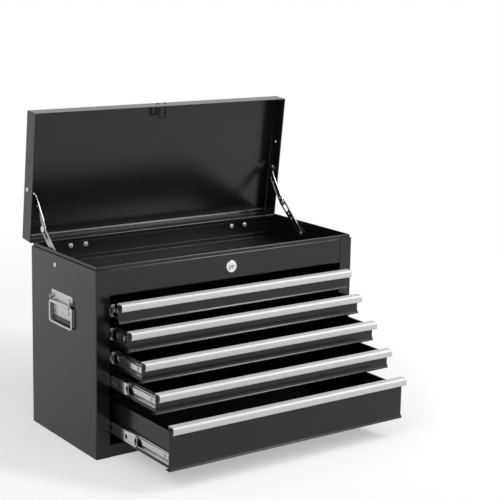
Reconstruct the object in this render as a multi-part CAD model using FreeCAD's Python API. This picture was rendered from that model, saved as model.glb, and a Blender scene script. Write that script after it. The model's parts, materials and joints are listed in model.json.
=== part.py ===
"""Sheet-steel top chest: hinged lid on folding stays, five drawers on ball-bearing slides.

Millimetres. X runs to the right, the front faces -Y and Z is up. The origin is the centre of the
flat bottom face. Pieces are drawn shut and then moved to the rest pose: lid open, drawers staggered.
"""
import FreeCAD, Part
import math
import os

os.makedirs("parts", exist_ok=True)
V = FreeCAD.Vector

# Body
body_width = 620.0
body_depth = 270.0
body_height = 373.0        # up to the shoulder that the lid rests over
sheet = 1.0                # sheet steel of body, lid and drawers
bend = 1.0                 # inside radius of a sheet bend
post_width = 30.0
post_return = 35.0         # how far each post's inner leg runs back
rail_height = 52.5         # top rail, from the shoulder down
sill_height = 25.5         # top of the bottom rail
ledge = 15.0               # folded-back edge of both rails
fit_gap = 0.3              # between pieces that slide or swing past each other
seat_gap = 0.05            # round a fixed screw, rivet or pin

# Till, the shallow tray under the lid
till_depth = 43.0          # floor below the shoulder
rim_height = 7.0           # how far the hemmed rim stands above the shoulder
rim_inset = 3.5            # side rim from the body's outer face
front_rim_inset = 2.5
hem_width = 3.0            # over both layers of a folded-over edge

# Lid
lid_height = 38.0
lid_gap = 1.0              # between the lid's edge and the shoulder
lid_bend = 8.0             # outer radius of the front and rear bends
lid_side_bend = 3.5
lid_corner = 1.5
lid_hem = 9.0
lid_open_angle = 83.5
peep_hole = (167.0, 20.0)  # from the lid's rear edge and from its open edge
peep_radius = 2.25

# Hinges
hinge_offset = 4.0         # pin axis behind the back face
hinge_drop = 0.5           # pin axis below the shoulder
hinge_place = 203.0        # hinge centre from the middle
hinge_length = 60.0
knuckles = 5
leaf = 1.5
leaf_reach = 18.5          # a leaf's far edge from the pin axis
knuckle_radius = 3.6
pin_radius = 2.0
hinge_bolt_half = 17.5     # bolts to each side of the hinge centre
hinge_bolt_reach = 9.5     # bolt row from the pin axis
lid_rivet_reach = 11.5     # rivet row from the pin axis
bolt_radius = 2.0
bolt_head = 3.9
nut_radius = 4.2

# Drawers: four shallow ones over a deep one that fills what is left above the sill
shallow_drawers = 4
drawer_height = 41.5
top_gap = 7.5              # between the rail and the highest drawer
drawer_gap = 4.5           # between two shallow drawers
deep_gap = 6.5             # between the lowest shallow drawer and the deep one
base_gap = 14.5            # between the deep drawer and the sill
drawer_out = [42.5, 79.0, 129.0, 178.0, 225.0]      # pulled out in the rest pose, top to bottom
wall_drop = 5.5            # side wall below the trim's top
deep_wall_drop = 15.0
front_gap = 2.5            # between the drawer's front and the post
front_setback = 15.0       # front panel behind the trim's face
tray_rear_gap = 19.0       # between the tray and the back panel
bevel_height = 8.0
bevel_reach = 5.0
trim_height = 14.7
trim_sheet = 1.2
trim_lip = 3.5
trim_bend = 3.3            # inner radius along the trim's upper edge
hook_drop = 5.0            # trim's rear hook over the panel, clear of the side walls
cap_length = 9.0
cap_gap = 0.1              # between the cap and the trim that it fills

# Slides
slide_height = 27.0
slide_sheet = 1.0
slide_depth = 10.5
slide_front = 19.0         # front end behind the trim's face when shut
slide_rear_gap = 20.0      # between the slide's rear end and the back panel
middle_short = 25.0        # how much shorter the middle member is
slide_level = 21.0         # slide centre above the drawer's underside
middle_lag = [0.0, 20.0, 40.0, 8.0, 0.0]            # middle member behind the slide's front end

# Folding stays, in the plane of the body's side
stay_foot = (104.0, 20.0)  # lower pivot ahead of the back face and below the shoulder
stay_head = (107.5, 22.0)  # upper pivot from the lid's rear edge and from its open edge
stay_lower_reach = 89.8    # lower pivot to knee with the lid open
stay_slack = 1.33          # how much longer than their span the open stay's arms are
knee_travel = 21.3         # how far the knee pin runs back along the lower arm
knee_end_gap = 0.1         # left at each end of that run
stay_sheet = 2.0
stay_gap = 1.7             # between the lower arm and the till's wall
lower_arm_width = 17.0
upper_arm_width = 14.0
upper_arm_flange = 4.0
joggle = (8.0, 17.0)       # where the upper arm steps sideways, from the upper pivot
knee_pin = 2.0
knee_play = 2.8            # room beside the knee pin in the slot
knee_head = 7.0
rivet_radius = 2.5
rivet_head = 4.6
rivet_dome = 1.4

# Lock and catch
lock_drop = 27.0           # lock's centre below the shoulder
lock_ring = 12.5
lock_ring_height = 1.8
lock_barrel = 9.0
lock_plug = 6.0
lock_depth = 32.5          # barrel behind the rail's face
key_slot = (8.0, 2.5)
catch_length = 31.0
catch_half = 8.75
catch_level = 19.0         # above the lid's open edge
catch_bar = 3.0
catch_plate_half = 13.0
cam_sheet = 2.0
cam_reach = 50.0           # inside of the cam's finger from the lock's centre
cam_finger = 10.0

# Side handles
handle_drop = 93.0         # bail's axis below the shoulder
handle_top_half = 43.5
handle_low_half = 35.0
handle_up = 23.0
handle_ear = 13.5          # height of the plate's wider upper part
handle_cut = 7.0           # height of the slope below it
handle_corner = 4.0
handle_down = 27.0
handle_sheet = 1.5
screw_places = [(35.0, 15.3), (30.0, -12.7)]        # from the handle's centre
screw_radius = 2.0
screw_head = 3.6
screw_dome = 1.8
wire = 2.5                 # radius of the bail
wire_out = 4.5             # bail axis from the body's side
barrel_wall = 1.5
barrel_half = 38.0
bail_half = 45.4
bail_drop = 42.0
bail_end = 24.0            # inner ends of the bail from the middle
bail_corner = 6.0          # radius of the bail's corners, at the wire's middle

half_width = body_width / 2
front = -body_depth / 2
back = body_depth / 2
post_inner = half_width - post_width
front_half = post_inner - front_gap
tray_back = back - sheet - tray_rear_gap
shoulder = body_height
rail_bottom = shoulder - rail_height
till_floor = shoulder - till_depth
lock_level = shoulder - lock_drop
handle_level = shoulder - handle_drop
rim_top = shoulder + rim_height
rail_face = front + sheet
hinge_y = back + hinge_offset
hinge_z = shoulder - hinge_drop
lid_edge = shoulder + lid_gap


def box(x0, x1, y0, y1, z0, z1):
    """Box between two corners, in any order."""
    low = V(min(x0, x1), min(y0, y1), min(z0, z1))
    return Part.makeBox(abs(x1 - x0), abs(y1 - y0), abs(z1 - z0), low)


def rod(start, direction, radius, length):
    return Part.makeCylinder(radius, length, V(*start), V(*direction))


def skinned(rings):
    """Solid with flat faces between closed rings of as many points each."""
    faces = [Part.Face(Part.makePolygon(ring + [ring[0]])) for ring in (rings[0], rings[-1])]
    for lower, upper in zip(rings, rings[1:]):
        for k in range(len(lower)):
            corners = [lower[k - 1], lower[k], upper[k], upper[k - 1]]
            faces.append(Part.Face(Part.makePolygon(corners + [corners[0]])))
    solid = Part.Solid(Part.Shell(faces))
    if solid.Volume < 0:
        solid.reverse()
    return solid


def turned_up(start, direction, steps, sides):
    """Flat-sided stand-in for a turned piece: steps are radius and height along its axis."""
    rings = [[V(reach * math.cos(2 * math.pi * k / sides), reach * math.sin(2 * math.pi * k / sides), level)
              for k in range(sides)] for reach, level in steps]
    solid = skinned(rings)
    solid.Placement = FreeCAD.Placement(V(*start), FreeCAD.Rotation(V(0, 0, 1), V(*direction)))
    return solid


def peg(start, direction, radius, length, sides=8):
    """Light stand-in for a small round bar: flat sides that stay inside the radius."""
    return turned_up(start, direction, [(radius, 0), (radius, length)], sides)


def peg_hole(start, direction, radius, length, sides=8):
    """Hole with flat sides that clears a bar of the given radius all round."""
    return peg(start, direction, radius / math.cos(math.pi / sides), length, sides)


def join(*shapes):
    """One clean solid out of touching or overlapping pieces."""
    whole = shapes[0].fuse(list(shapes[1:])).removeSplitter()
    return whole.Solids[0] if len(whole.Solids) == 1 else whole


def group(shapes):
    return Part.makeCompound([solid for shape in shapes for solid in shape.Solids])


def mirrored(shape):
    """The same piece for the other side of the chest."""
    return shape.mirror(V(0, 0, 0), V(1, 0, 0))


def both_sides(shape):
    return group([shape, mirrored(shape)])


def flat_placed(solid, plane, start, length):
    """A solid drawn on the flat, stood in one of the main planes."""
    if plane == "XZ":
        solid.Placement = FreeCAD.Placement(V(0, start + length, 0), FreeCAD.Rotation(V(1, 0, 0), 90))
    elif plane == "YZ":
        solid.Placement = FreeCAD.Placement(V(start, 0, 0), FreeCAD.Rotation(V(1, 1, 1), 120))
    else:
        solid.Placement = FreeCAD.Placement(V(0, 0, start), FreeCAD.Rotation())
    return solid


def bent_sheet(path, thickness, plane, start, length, inside=None):
    """Sheet of one thickness along a path of straight runs, extruded across.

    The path is the sheet's middle line. inside is the inner radius of every bend, or a list with one
    for each bend, where None is a sharp fold.
    """
    points = [V(a, b, 0) for a, b in path]
    radii = inside if isinstance(inside, list) else [inside] * (len(points) - 2)
    ways = [(b - a).normalize() for a, b in zip(points, points[1:])]
    sides = [V(-u.y, u.x, 0) for u in ways]

    def line(offset):
        edges = []
        here = points[0] + sides[0] * offset
        for k, radius in enumerate(radii):
            corner, u, w = points[k + 1], ways[k], ways[k + 1]
            if radius is None:
                mitre = (sides[k] + sides[k + 1]) * (offset / (1 + sides[k].dot(sides[k + 1])))
                stop = after = corner + mitre
                middle = None
            else:
                angle = math.atan2(u.x * w.y - u.y * w.x, u.dot(w))
                reach = (radius + thickness / 2) * math.tan(abs(angle) / 2)
                side = math.copysign(1, angle)
                centre = corner - u * reach + sides[k] * (side * (radius + thickness / 2))
                size = radius + thickness / 2 - side * offset
                stop = centre - sides[k] * (side * size)
                after = centre - sides[k + 1] * (side * size)
                middle = centre - (sides[k] + sides[k + 1]).normalize() * (side * size)
            edges.append(Part.makeLine(here, stop))
            if middle is not None and (after - stop).Length > 1e-6:
                edges.append(Part.Arc(stop, middle, after).toShape())
            here = after
        edges.append(Part.makeLine(here, points[-1] + sides[-1] * offset))
        return edges

    half = thickness / 2
    edges = line(half) + line(-half)
    edges += [Part.makeLine(end + side * half, end - side * half)
              for end, side in ((points[0], sides[0]), (points[-1], sides[-1]))]
    solid = Part.Face(Part.Wire(Part.__sortEdges__(edges))).extrude(V(0, 0, length))
    return flat_placed(solid, plane, start, length)


def outline(points, plane, start, length):
    """Plate with a straight-sided outline."""
    corners = [V(a, b, 0) for a, b in points]
    solid = Part.Face(Part.makePolygon(corners + [corners[0]])).extrude(V(0, 0, length))
    return flat_placed(solid, plane, start, length)


def strip(x0, x1, near, far, half):
    """Plate along Y with round ends about two centres, lying in the YZ plane."""
    return join(box(x0, x1, near, far, -half, half),
                rod((x0, near, 0), (1, 0, 0), half, x1 - x0),
                rod((x0, far, 0), (1, 0, 0), half, x1 - x0))


def head(start, direction, radius, height, sides=8):
    """Low head of a rivet or screw, standing on its seat and drawn in towards its crown."""
    return turned_up(start, direction, [(radius, 0), (radius * 0.9, height * 0.55), (radius * 0.5, height)],
                     sides)


def lid_turned(shape):
    """A piece drawn on the shut lid, moved to the open lid."""
    moved = shape.copy()
    moved.rotate(V(0, hinge_y, hinge_z), V(1, 0, 0), -lid_open_angle)
    return moved


def lid_point(from_rear, from_edge):
    """Where a point of the lid's side lies, shut, as Y and Z."""
    return back - from_rear, lid_edge + from_edge


def opened(point):
    """The same point with the lid open."""
    angle = math.radians(lid_open_angle)
    y, z = point[0] - hinge_y, point[1] - hinge_z
    return (hinge_y + y * math.cos(angle) + z * math.sin(angle),
            hinge_z - y * math.sin(angle) + z * math.cos(angle))


# Side panels: wall, front and rear posts, and the legs that carry the slides
wall = half_width - sheet / 2
post_top = till_floor - 1.0
plan = [(post_inner, front + sheet / 2), (wall, front + sheet / 2), (wall, back - 1.5 * sheet),
        (post_inner, back - 1.5 * sheet)]
rim_inner = half_width - rim_inset - hem_width
right_side_panel = join(
    bent_sheet(plan, sheet, "XY", 0, shoulder, bend),
    box(post_inner, post_inner + sheet, front, front + post_return + sheet, 0, post_top),
    box(post_inner, post_inner + sheet, back - post_return - sheet, back - sheet, 0, post_top),
    box(post_inner, wall, front + sheet / 2, back - 1.5 * sheet, 0, sheet),
    box(rim_inner + sheet + fit_gap, wall, front + 2 * sheet, back - 3 * sheet,
        shoulder - sheet, shoulder))

# Back panel, base and top rail
back_panel = box(-half_width + sheet, half_width - sheet, back - sheet, back, sheet, shoulder - sheet)
base_front = rail_face + sheet / 2
base_pan = join(
    bent_sheet([(rail_face + ledge, sill_height - sheet / 2), (base_front, sill_height - sheet / 2),
                (base_front, sheet / 2), (back - 1.5 * sheet, sheet / 2), (back - 1.5 * sheet, 20.0)],
               sheet, "YZ", -post_inner, 2 * post_inner, [bend, None, None]),
    box(post_inner - sheet, post_inner, rail_face + ledge, back - sheet, 0, 20.0),
    box(-post_inner, -post_inner + sheet, rail_face + ledge, back - sheet, 0, 20.0))
front_rim_inner = front + front_rim_inset + hem_width
rail = rail_face + sheet / 2
top_rail = join(
    bent_sheet([(front_rim_inner - sheet - fit_gap, shoulder - sheet / 2), (rail, shoulder - sheet / 2),
                (rail, rail_bottom + sheet / 2), (rail_face + ledge, rail_bottom + sheet / 2)],
               sheet, "YZ", -post_inner, 2 * post_inner, [bend, bend]),
    box(-post_inner - 15, post_inner + 15, rail_face, rail_face + sheet, till_floor + 1, shoulder - 2),
    box(post_inner - sheet, post_inner, rail_face, rail_face + ledge, rail_bottom, till_floor - 1),
    box(-post_inner, -post_inner + sheet, rail_face, rail_face + ledge, rail_bottom, till_floor - 1))

# Till tray with its hemmed rim, and the rim along the back
hem_step = hem_width - sheet
rim_line = rim_inner + sheet / 2
front_line = front_rim_inner - sheet / 2
floor_line = till_floor + sheet / 2
rim_line_top = rim_top - sheet / 2
till_back = back - 2 * sheet - fit_gap
right_rim = [(rim_line, floor_line), (rim_line, rim_line_top), (rim_line + hem_step, rim_line_top),
             (rim_line + hem_step, shoulder)]
left_rim = [(-x, z) for x, z in reversed(right_rim)]
till_tray = join(
    bent_sheet(left_rim + right_rim, sheet, "XZ", front + front_rim_inset,
               till_back - front - front_rim_inset),
    bent_sheet([(front_line - hem_step, shoulder), (front_line - hem_step, rim_line_top),
                (front_line, rim_line_top), (front_line, floor_line),
                (till_back - sheet / 2, floor_line), (till_back - sheet / 2, till_floor + 11)],
               sheet, "YZ", -rim_line, 2 * rim_line))
rear_line = back - 1.5 * sheet
rear_rim = bent_sheet(
    [(rear_line, shoulder - 4.5), (rear_line, shoulder - 2.0), (rear_line - 0.8, shoulder + 1.0),
     (rear_line - 0.8, rim_line_top), (rear_line - 0.8 - hem_step, rim_line_top),
     (rear_line - 0.8 - hem_step, shoulder - 1.0)],
    sheet, "YZ", -rim_inner + fit_gap, 2 * (rim_inner - fit_gap))
for side in (-1, 1):
    rear_rim = rear_rim.cut(box(side * (post_inner - fit_gap), side * half_width,
                                rear_line - sheet, back, shoulder - 20, shoulder + fit_gap))

# Hinges
hinge_starts = [side * hinge_place - hinge_length / 2 for side in (-1, 1)]
pitch = hinge_length / knuckles
body_leaves, lid_leaves, hinge_pins = [], [], []
for start in hinge_starts:
    for leaves, own, way in ((body_leaves, 0, -1), (lid_leaves, 1, 1)):
        edge = math.sqrt((knuckle_radius + fit_gap) ** 2 - (hinge_offset - leaf) ** 2)
        pieces = [box(start, start + hinge_length, back, back + leaf,
                      hinge_z + way * edge, hinge_z + way * leaf_reach)]
        for k in range(own, knuckles, 2):
            near = start + k * pitch + fit_gap / 2
            width = pitch - fit_gap
            pieces.append(box(near, near + width, back, back + leaf, hinge_z, hinge_z + way * (edge + 1)))
            pieces.append(peg((near, hinge_y, hinge_z), (1, 0, 0), knuckle_radius, width, 12))
        bore = peg_hole((start, hinge_y, hinge_z), (1, 0, 0), pin_radius + seat_gap, hinge_length, 12)
        leaves.append(join(*pieces).cut(bore))
    hinge_pins.append(join(
        rod((start - 1, hinge_y, hinge_z), (1, 0, 0), pin_radius, hinge_length + 2),
        peg((start - 2, hinge_y, hinge_z), (1, 0, 0), pin_radius + 0.7, 2 - seat_gap)))

bolt_xs = [side * hinge_place + step for side in (-1, 1) for step in (-hinge_bolt_half, hinge_bolt_half)]
bolt_z = hinge_z - hinge_bolt_reach
hinge_bolts, hinge_nuts = [], []
for x in bolt_xs:
    tail = back - sheet - 4.5
    hinge_bolts.append(join(peg((x, tail, bolt_z), (0, 1, 0), bolt_radius, back + leaf - tail),
                            head((x, back + leaf, bolt_z), (0, 1, 0), bolt_head, 2.2)))
    corners = [(x + nut_radius * math.cos(math.radians(60 * k)),
                bolt_z + nut_radius * math.sin(math.radians(60 * k))) for k in range(6)]
    hinge_nuts.append(outline(corners, "XZ", back - sheet - 3.2, 3.2))

# Lid shell


def lid_solid(inset):
    """The lid's filled outline, or the hollow that lies one sheet inside it."""
    x1 = half_width - inset
    y0, y1 = front + inset, back - inset
    top = lid_edge + lid_height - inset
    low = lid_edge - (5 if inset else 0)

    def rounded(a0, a1, b0, b1, radius, plane, start, length):
        plate = outline([(a0, b0), (a1, b0), (a1, b1), (a0, b1)], plane, start, length)
        edges = []
        for edge in plate.Edges:
            span = edge.Vertexes[0].Point - edge.Vertexes[1].Point
            along = {"YZ": span.x, "XZ": span.y, "XY": span.z}[plane]
            if abs(abs(along) - length) < 1e-6 and (plane == "XY" or edge.CenterOfMass.z > b0 + 1):
                edges.append(edge)
        return plate.makeFillet(radius, edges)

    profile = rounded(y0, y1, low, top, lid_bend - inset, "YZ", -x1 - 1, 2 * x1 + 2)
    ends = rounded(-x1, x1, low, top, lid_side_bend - inset, "XZ", y0 - 1, y1 - y0 + 2)
    plan_view = rounded(-x1, x1, y0, y1, lid_corner - inset + 0.01, "XY", low - 1, top - low + 2)
    return profile.common(ends).common(plan_view)


lid_shell = lid_solid(0).cut(lid_solid(sheet))
side_hem = box(half_width - 2 * sheet, half_width - sheet / 2, front + sheet / 2, back - 2 * sheet,
               lid_edge, lid_edge + lid_hem)
lid_shell = join(lid_shell, side_hem, mirrored(side_hem),
                 box(-half_width + sheet, half_width - sheet, front + sheet / 2, front + 2 * sheet,
                     lid_edge, lid_edge + lid_hem))
peep = lid_point(*peep_hole)
lid_shell = lid_shell.cut(rod((-half_width - 1, peep[0], peep[1]), (1, 0, 0), peep_radius,
                              body_width + 2))

# Catch on the lid's front flange
catch_z = lid_edge + catch_level
catch_seat = front + sheet
catch_back = catch_seat + catch_length
lid_catch = join(
    box(-catch_half, catch_half, catch_seat, catch_back, catch_z - catch_bar / 2, catch_z + catch_bar / 2),
    box(-catch_plate_half, catch_plate_half, catch_seat, catch_seat + 2,
        catch_z - catch_bar / 2, catch_z + 11))
lid_catch = lid_catch.cut(box(-catch_half + catch_bar, catch_half - catch_bar, catch_seat + 4,
                              catch_back - catch_bar, catch_z - 5, catch_z + 5))
lid_rivets = []
rivet_z = hinge_z + lid_rivet_reach
for x in bolt_xs:
    lid_rivets.append(join(peg((x, back - sheet, rivet_z), (0, 1, 0), bolt_radius, sheet + leaf),
                           head((x, back + leaf, rivet_z), (0, 1, 0), 3.4, 1.2),
                           head((x, back - sheet, rivet_z), (0, -1, 0), 3.4, 1.2)))
for x in (-9.0, 9.0):
    z = catch_z + 6.5
    lid_rivets.append(join(peg((x, front, z), (0, 1, 0), bolt_radius, sheet + 2),
                           head((x, front, z), (0, -1, 0), 3.4, 1.2),
                           head((x, catch_seat + 2, z), (0, 1, 0), 3.4, 1.2)))

# Lock: ring and barrel fixed, plug and cam turn together
barrel_end = rail_face + lock_depth
lock_cylinder = join(
    turned_up((0, rail_face - lock_ring_height, lock_level), (0, 1, 0),
              [(lock_ring - 1.2, 0), (lock_ring, 1.0), (lock_ring, lock_ring_height)], 32),
    peg((0, rail_face, lock_level), (0, 1, 0), lock_barrel, lock_depth, 24))
lock_cylinder = lock_cylinder.cut(rod((0, front - 10, lock_level), (0, 1, 0), lock_plug + seat_gap, 60))
lock_hole = peg_hole((0, front - 5, lock_level), (0, 1, 0), lock_barrel + seat_gap, 12, 24)
top_rail = top_rail.cut(lock_hole)
till_tray = till_tray.cut(lock_hole)
nut_face = front_rim_inner
lock_nut = outline([((lock_barrel + 4) * math.cos(math.radians(60 * k)),
                     lock_level + (lock_barrel + 4) * math.sin(math.radians(60 * k))) for k in range(6)],
                   "XZ", nut_face, 4.0)
lock_nut = lock_nut.cut(peg_hole((0, nut_face - 1, lock_level), (0, 1, 0), lock_barrel + seat_gap, 6, 24))
plug_front = rail_face - 2.4
plug_back = barrel_end + fit_gap
cam_back = plug_back + cam_sheet
lock_core = rod((0, plug_front, lock_level), (0, 1, 0), lock_plug, plug_back - plug_front)
lock_core = lock_core.cut(box(-key_slot[0] / 2, key_slot[0] / 2, plug_front - 1, plug_front + 9,
                              lock_level - key_slot[1] / 2, lock_level + key_slot[1] / 2))
lock_cam = join(
    rod((0, plug_back, lock_level), (0, 1, 0), 8.0, cam_sheet),
    box(0, cam_reach + 4, plug_back, cam_back, lock_level - 5, lock_level + 5),
    box(cam_reach, cam_reach + cam_sheet + 2, cam_back - cam_finger, cam_back,
        lock_level - 4, lock_level + 4))
lock_cam_screw = join(peg((0, plug_back - 7, lock_level), (0, 1, 0), bolt_radius, 7 + cam_sheet),
                      head((0, cam_back, lock_level), (0, 1, 0), bolt_head, 2.2))

# Handles
handle_face = half_width + handle_sheet
axis_x = half_width + wire_out
ear_low = handle_level + handle_up - handle_ear
plate_edge = [(handle_low_half, handle_level - handle_down), (handle_low_half, ear_low - handle_cut),
              (handle_top_half, ear_low), (handle_top_half, handle_level + handle_up - handle_corner),
              (handle_top_half - handle_corner, handle_level + handle_up)]
handle_plate = join(
    outline(plate_edge + [(-y, z) for y, z in reversed(plate_edge)], "YZ", half_width, handle_sheet),
    peg((axis_x, -barrel_half, handle_level), (0, 1, 0), wire + barrel_wall, 2 * barrel_half, 12))
handle_plate = handle_plate.cut(peg_hole((axis_x, -barrel_half - 1, handle_level), (0, 1, 0),
                                         wire + seat_gap, 2 * barrel_half + 2, 12))
handle_plate = handle_plate.cut(box(0, half_width, -60, 60, 0, body_height))
handle_screws = []
for place, rise in screw_places:
    for y in (-place, place):
        z = handle_level + rise
        handle_screws.append(join(peg((half_width - 4, y, z), (1, 0, 0), screw_radius, 4 + handle_sheet),
                                  head((handle_face, y, z), (1, 0, 0), screw_head, screw_dome)))


def bent_wire(points, x, radius, sides=8):
    """Wire in a plane across X through straight runs, mitred where they meet."""
    runs = []
    for a, b in zip(points, points[1:]):
        start, end = V(x, *a), V(x, *b)
        runs.append(((end - start).normalize(), start, end))
    solids = []
    for k, (way, start, end) in enumerate(runs):
        near = runs[k - 1][0] + way if k else way
        far = way + runs[k + 1][0] if k + 1 < len(runs) else way
        rings = []
        across = V(1, 0, 0)
        beside = way.cross(across)
        for centre, normal in ((start, near), (end, far)):
            ring = []
            for j in range(sides):
                angle = 2 * math.pi * (j + 0.5) / sides
                spoke = across * (radius * math.cos(angle)) + beside * (radius * math.sin(angle))
                ring.append(centre + spoke - way * (spoke.dot(normal) / way.dot(normal)))
            rings.append(ring)
        solids.append(skinned(rings))
    return join(*solids)


def turned_corner(before, corner, after, reach, steps=3):
    """Points along a quarter turn that stands in for a rounded corner."""
    b, c, a = (V(*p, 0) for p in (before, corner, after))
    u = (c - b).normalize()
    w = (a - c).normalize()
    centre = c - u * reach + w * reach
    points = []
    for k in range(steps + 1):
        angle = math.pi / 2 * k / steps
        spoke = centre - w * (reach * math.cos(angle)) + u * (reach * math.sin(angle))
        points.append((spoke.x, spoke.y))
    return points


bail_low = handle_level - bail_drop
bail_corners = [(-bail_end, handle_level), (-bail_half, handle_level), (-bail_half, bail_low),
                (bail_half, bail_low), (bail_half, handle_level), (bail_end, handle_level)]
bail_path = []
for before, corner, after in zip(bail_corners, bail_corners[1:], bail_corners[2:]):
    bail_path += turned_corner(before, corner, after, bail_corner)
bail_run = bail_half - bail_corner - bail_end
right_bail = join(
    bent_wire(bail_path, axis_x, wire),
    rod((axis_x, -bail_end, handle_level), (0, -1, 0), wire, bail_run),
    rod((axis_x, bail_end, handle_level), (0, 1, 0), wire, bail_run))

# Folding stays: the knee pin runs in a slot of the lower arm
foot = (back - stay_foot[0], shoulder - stay_foot[1])
stay_plane = rim_inner - stay_gap - stay_sheet
head_shut = lid_point(*stay_head)
head_open = opened(head_shut)
span = math.hypot(head_open[0] - foot[0], head_open[1] - foot[1])
stay_upper_reach = span + stay_slack - stay_lower_reach
line_angle = math.atan2(head_open[1] - foot[1], head_open[0] - foot[0])
inner_angle = math.acos((stay_lower_reach ** 2 + span ** 2 - stay_upper_reach ** 2)
                        / (2 * stay_lower_reach * span))
lower_angle = line_angle - inner_angle
knee = (foot[0] + stay_lower_reach * math.cos(lower_angle),
        foot[1] + stay_lower_reach * math.sin(lower_angle))
upper_angle = math.atan2(knee[1] - head_open[1], knee[0] - head_open[0])
lower_out = stay_plane + stay_sheet
upper_in = stay_plane - fit_gap - stay_sheet
upper_line = upper_in + stay_sheet / 2
head_line = half_width - sheet - 0.5 - stay_sheet / 2


def stay_placed(shape, pivot, angle):
    """An arm drawn along Y from its pivot, turned and moved to its place."""
    moved = shape.copy()
    moved.rotate(V(0, 0, 0), V(1, 0, 0), math.degrees(angle))
    moved.translate(V(0, *pivot))
    return moved


lower_half = lower_arm_width / 2
stay_slot = (stay_lower_reach - knee_travel - knee_end_gap, stay_lower_reach + knee_end_gap)
slot_half = knee_pin + knee_play
right_lower_arm = strip(stay_plane, lower_out, 0, stay_slot[1], lower_half).cut(
    strip(stay_plane - 1, lower_out + 1, stay_slot[0], stay_slot[1], slot_half))
right_lower_arm = right_lower_arm.cut(peg_hole((stay_plane - 1, 0, 0), (1, 0, 0),
                                               rivet_radius + seat_gap, 4))
right_lower_arm = stay_placed(right_lower_arm, foot, lower_angle)

upper_half = upper_arm_width / 2
arm_path = [(head_line, -upper_half), (head_line, joggle[0]), (upper_line, joggle[1]),
            (upper_line, stay_upper_reach + upper_half)]
right_upper_arm = bent_sheet(arm_path, stay_sheet, "XY", -upper_half, upper_arm_width)
right_upper_arm = right_upper_arm.common(strip(upper_in - 1, half_width, 0, stay_upper_reach, upper_half))
flanges = [box(upper_in - upper_arm_flange, upper_in + stay_sheet / 2, joggle[1] + 4,
               stay_upper_reach - 14, side * (upper_half - 1.5), side * upper_half) for side in (-1, 1)]
right_upper_arm = join(right_upper_arm, *flanges)
right_upper_arm = right_upper_arm.cut(peg_hole((head_line - 3, 0, 0), (1, 0, 0),
                                               rivet_radius + seat_gap, 6))
right_upper_arm = stay_placed(right_upper_arm, head_open, upper_angle)
right_knee_pin = join(
    peg((upper_in, knee[0], knee[1]), (1, 0, 0), knee_pin, lower_out + 0.2 - upper_in),
    head((upper_in, knee[0], knee[1]), (-1, 0, 0), 4.0, 1.2),
    peg((lower_out + 0.2, knee[0], knee[1]), (1, 0, 0), knee_head, 0.9, 16))

lower_pivot = join(
    peg((stay_plane - 0.1, *foot), (1, 0, 0), rivet_radius, half_width - stay_plane + 0.1),
    head((stay_plane - 0.1, *foot), (-1, 0, 0), rivet_head, rivet_dome),
    peg((lower_out + 0.1, *foot), (1, 0, 0), rivet_head, rim_inner - lower_out - 0.1),
    head((half_width, *foot), (1, 0, 0), rivet_head, rivet_dome))

arm_in = head_line - stay_sheet / 2
arm_out = head_line + stay_sheet / 2
upper_pivot = join(
    peg((arm_in - 0.1, *head_shut), (1, 0, 0), rivet_radius, half_width - arm_in + 0.1),
    head((arm_in - 0.1, *head_shut), (-1, 0, 0), rivet_head, rivet_dome),
    peg((arm_out + 0.1, *head_shut), (1, 0, 0), rivet_head, half_width - sheet - arm_out - 0.1),
    head((half_width, *head_shut), (1, 0, 0), rivet_head, rivet_dome))


def slide_channel(near, far, half, y, length, level):
    """Three-sided slide member: web at near, lips reaching to far, measured from the post's leg."""
    inner = half - slide_sheet
    step = slide_sheet if far > near else -slide_sheet
    x0, x1, x2 = (post_inner - d for d in (near, near + step, far))
    return join(box(x0, x1, y, y + length, level - half, level + half),
                box(x0, x2, y, y + length, level + inner, level + half),
                box(x0, x2, y, y + length, level - half, level - inner))


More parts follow.
